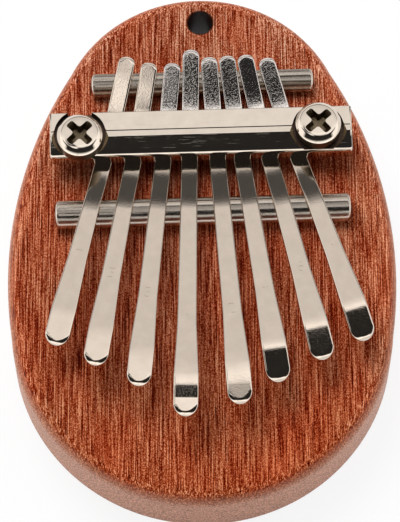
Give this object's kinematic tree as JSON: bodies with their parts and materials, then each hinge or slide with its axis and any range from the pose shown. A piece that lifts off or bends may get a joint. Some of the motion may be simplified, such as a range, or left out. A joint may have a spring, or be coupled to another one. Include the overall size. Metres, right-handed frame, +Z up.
{
  "type": "thumb piano",
  "caption": "Egg-shaped solid wood thumb piano with a fan of bent, sprung steel keys held over two round bridge rods by a screwed clamp bar, and a hanging hole at the narrow end.",
  "frame": {"origin": "middle of the flat underside of the board, halfway along its length and width", "axes": "+Z up out of the playing face, +Y along the board towards its narrow end with the hanging hole, +X to the right of a viewer who sees the narrow end at the top"},
  "size_m": [0.0744, 0.105, 0.0247],
  "materials": {
    "board_wood": "fine open grain, satin clear finish",
    "rod_nickel": "polished nickel plate",
    "bar_nickel": "polished nickel plate",
    "screw_nickel": "polished nickel plate",
    "key_steel": "nickel plated spring steel, satin"
  },
  "bodies": {
    "instrument": {"board": "board_wood", "rear_bridge": "rod_nickel", "front_bridge": "rod_nickel", "clamp_bar": "bar_nickel", "screw_left": "screw_nickel", "screw_right": "screw_nickel", "key_1_shank": "key_steel", "key_2_shank": "key_steel", "key_3_shank": "key_steel", "key_4_shank": "key_steel", "key_5_shank": "key_steel", "key_6_shank": "key_steel", "key_7_shank": "key_steel", "key_8_shank": "key_steel"},
    "key_1": {"key_1_tongue": "key_steel"},
    "key_2": {"key_2_tongue": "key_steel"},
    "key_3": {"key_3_tongue": "key_steel"},
    "key_4": {"key_4_tongue": "key_steel"},
    "key_5": {"key_5_tongue": "key_steel"},
    "key_6": {"key_6_tongue": "key_steel"},
    "key_7": {"key_7_tongue": "key_steel"},
    "key_8": {"key_8_tongue": "key_steel"}
  },
  "joints": [
    {"name": "key_1_flex", "type": "hinge", "parent": "instrument", "child": "key_1", "pos_m": [-0.02111, 0.00481, 0.01973], "axis": [0.9763, -0.2164, 0], "range_deg": [-4, 4], "stiffness_Nm_per_rad": 5.74},
    {"name": "key_2_flex", "type": "hinge", "parent": "instrument", "child": "key_2", "pos_m": [-0.01475, 0.00494, 0.01973], "axis": [0.9871, -0.1599, 0], "range_deg": [-4, 4], "stiffness_Nm_per_rad": 5.04},
    {"name": "key_3_flex", "type": "hinge", "parent": "instrument", "child": "key_3", "pos_m": [-0.00831, 0.00507, 0.01973], "axis": [0.9952, -0.0976, 0], "range_deg": [-4, 4], "stiffness_Nm_per_rad": 4.49},
    {"name": "key_4_flex", "type": "hinge", "parent": "instrument", "child": "key_4", "pos_m": [-0.00242, 0.0052, 0.01973], "axis": [0.9998, -0.0192, 0], "range_deg": [-4, 4], "stiffness_Nm_per_rad": 3.88},
    {"name": "key_5_flex", "type": "hinge", "parent": "instrument", "child": "key_5", "pos_m": [0.00391, 0.00533, 0.01973], "axis": [0.9973, 0.0732, 0], "range_deg": [-4, 4], "stiffness_Nm_per_rad": 4.08},
    {"name": "key_6_flex", "type": "hinge", "parent": "instrument", "child": "key_6", "pos_m": [0.00925, 0.00544, 0.01973], "axis": [0.9912, 0.1323, 0], "range_deg": [-4, 4], "stiffness_Nm_per_rad": 4.55},
    {"name": "key_7_flex", "type": "hinge", "parent": "instrument", "child": "key_7", "pos_m": [0.01541, 0.00557, 0.01973], "axis": [0.9767, 0.2147, 0], "range_deg": [-4, 4], "stiffness_Nm_per_rad": 5.08},
    {"name": "key_8_flex", "type": "hinge", "parent": "instrument", "child": "key_8", "pos_m": [0.02176, 0.0057, 0.01973], "axis": [0.9578, 0.2874, 0], "range_deg": [-4, 4], "stiffness_Nm_per_rad": 5.65}
  ]
}
